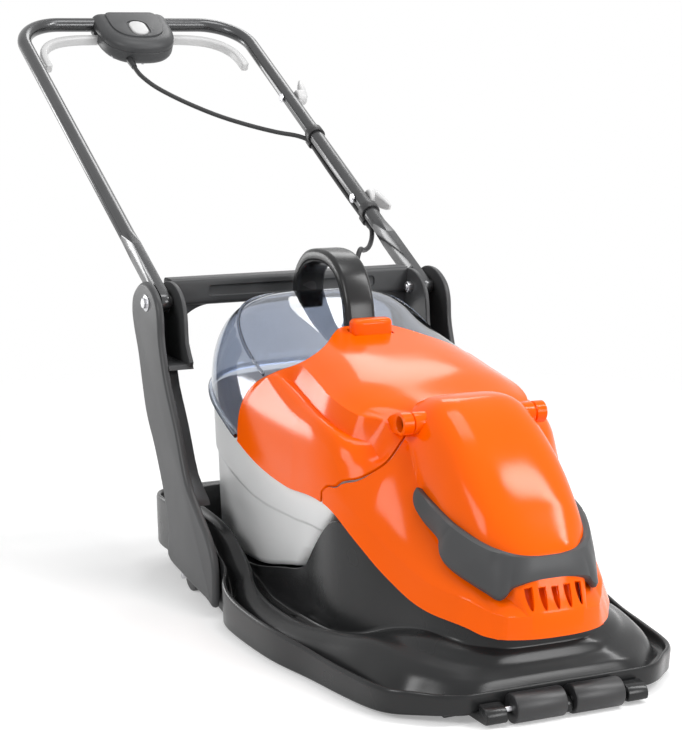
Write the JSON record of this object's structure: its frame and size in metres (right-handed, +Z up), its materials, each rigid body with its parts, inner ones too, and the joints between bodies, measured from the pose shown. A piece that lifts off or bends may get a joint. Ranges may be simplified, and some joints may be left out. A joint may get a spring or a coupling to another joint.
{
  "type": "electric hover mower",
  "caption": "Electric collecting hover mower with a domed hood, a grass tub under a hinged clear lid, a folding handle with a bail switch, cable hooks, a bar blade and floor rollers.",
  "frame": {"origin": "on the ground under the middle of the bounding box, midway between the mower's sides", "axes": "+X to the mower's own left, which is on the right as seen from its nose, +Y to the rear, +Z up"},
  "size_m": [0.4439, 1.4192, 0.7375],
  "materials": {
    "orange_shell": "high gloss moulded plastic",
    "charcoal_shell": "satin moulded plastic",
    "mid_grey_plastic": "fine grained moulded plastic",
    "pale_grey_plastic": "satin moulded plastic",
    "clear_plastic": "clear moulded plastic",
    "smoky_plastic": "translucent moulded plastic",
    "black_plastic": "matt plastic",
    "handle_paint": "metallic gloss paint",
    "steel": "zinc plated",
    "blade_steel": "ground steel",
    "core_steel": "laminated core with windings",
    "cable_rubber": "matt rubber sheath"
  },
  "bodies": {
    "chassis": {"deck": "charcoal_shell", "grass_chute": "charcoal_shell", "front_hood": "orange_shell", "nose_bumper": "mid_grey_plastic", "hinge_pins": "steel", "grass_tub": "smoky_plastic", "yoke": "mid_grey_plastic", "yoke_screws": "steel", "pivot_bolts": "steel", "pivot_nuts": "steel", "pivot_spacers": "black_plastic", "cable_lower": "cable_rubber", "cable_grommet": "black_plastic", "motor_can": "steel", "motor_cap": "black_plastic", "stator": "core_steel", "bearings": "steel", "motor_screws": "steel", "front_brackets": "charcoal_shell", "front_axle": "steel", "rear_axle": "steel"},
    "lid": {"lid_cover": "orange_shell", "lid_window": "clear_plastic", "carry_handle": "charcoal_shell"},
    "latch": {"latch_button": "orange_shell"},
    "handle": {"handle_tube": "handle_paint", "switch_box_top": "mid_grey_plastic", "switch_box_base": "mid_grey_plastic", "box_screws": "steel", "micro_switch": "black_plastic", "bail_pin": "steel", "cable_gland": "black_plastic", "cable_upper": "cable_rubber", "cable_clips": "black_plastic", "hook_bolts": "steel"},
    "bail": {"bail_lever": "pale_grey_plastic", "bail_spring": "steel"},
    "lock": {"lock_button": "pale_grey_plastic"},
    "upper_hook": {"hook_upper": "pale_grey_plastic"},
    "lower_hook": {"hook_lower": "pale_grey_plastic"},
    "spindle": {"rotor": "core_steel", "impeller": "black_plastic", "blade": "blade_steel", "blade_bolt": "steel"},
    "left_front_roller": {"front_roller_left": "black_plastic"},
    "right_front_roller": {"front_roller_right": "black_plastic"},
    "rear_roller_body": {"rear_roller": "black_plastic"}
  },
  "joints": [
    {"name": "handle_fold", "type": "hinge", "parent": "chassis", "child": "handle", "pos_m": [0, 0.00739, 0.359], "axis": [1, 0, 0], "range_deg": [0, 150], "deforming": ["cable_lower"]},
    {"name": "lid_hinge", "type": "hinge", "parent": "chassis", "child": "lid", "pos_m": [0, -0.48361, 0.2795], "axis": [1, 0, 0], "range_deg": [0, 60]},
    {"name": "latch_press", "type": "slide", "parent": "lid", "child": "latch", "axis": [0, 0, -1], "range_m": [0, 0.004], "stiffness_N_per_m": 600, "springref_m": -0.002},
    {"name": "bail_squeeze", "type": "hinge", "parent": "handle", "child": "bail", "pos_m": [0, 0.62929, 0.66743], "axis": [1, 0, 0], "range_deg": [0, 8], "stiffness_Nm_per_rad": 6, "springref_deg": -8.59},
    {"name": "lock_press", "type": "slide", "parent": "handle", "child": "lock", "axis": [0, 0.4648, -0.8854], "range_m": [0, 0.004], "stiffness_N_per_m": 600, "springref_m": -0.002},
    {"name": "upper_hook_swivel", "type": "hinge", "parent": "handle", "child": "upper_hook", "pos_m": [0, 0.47045, 0.60211], "axis": [1, 0, 0], "range_deg": [0, 180]},
    {"name": "lower_hook_swivel", "type": "hinge", "parent": "handle", "child": "lower_hook", "pos_m": [0, 0.20926, 0.46498], "axis": [1, 0, 0], "range_deg": [0, 180]},
    {"name": "spindle_spin", "type": "hinge", "parent": "chassis", "child": "spindle", "pos_m": [0, -0.46861, 0], "axis": [0, 0, 1], "continuous": true},
    {"name": "left_front_roller_spin", "type": "hinge", "parent": "chassis", "child": "left_front_roller", "pos_m": [0, -0.69361, 0.016], "axis": [1, 0, 0], "continuous": true},
    {"name": "right_front_roller_spin", "type": "hinge", "parent": "chassis", "child": "right_front_roller", "pos_m": [0, -0.69361, 0.016], "axis": [1, 0, 0], "continuous": true},
    {"name": "rear_roller_spin", "type": "hinge", "parent": "chassis", "child": "rear_roller_body", "pos_m": [0, -0.10261, 0.022], "axis": [1, 0, 0], "continuous": true}
  ]
}
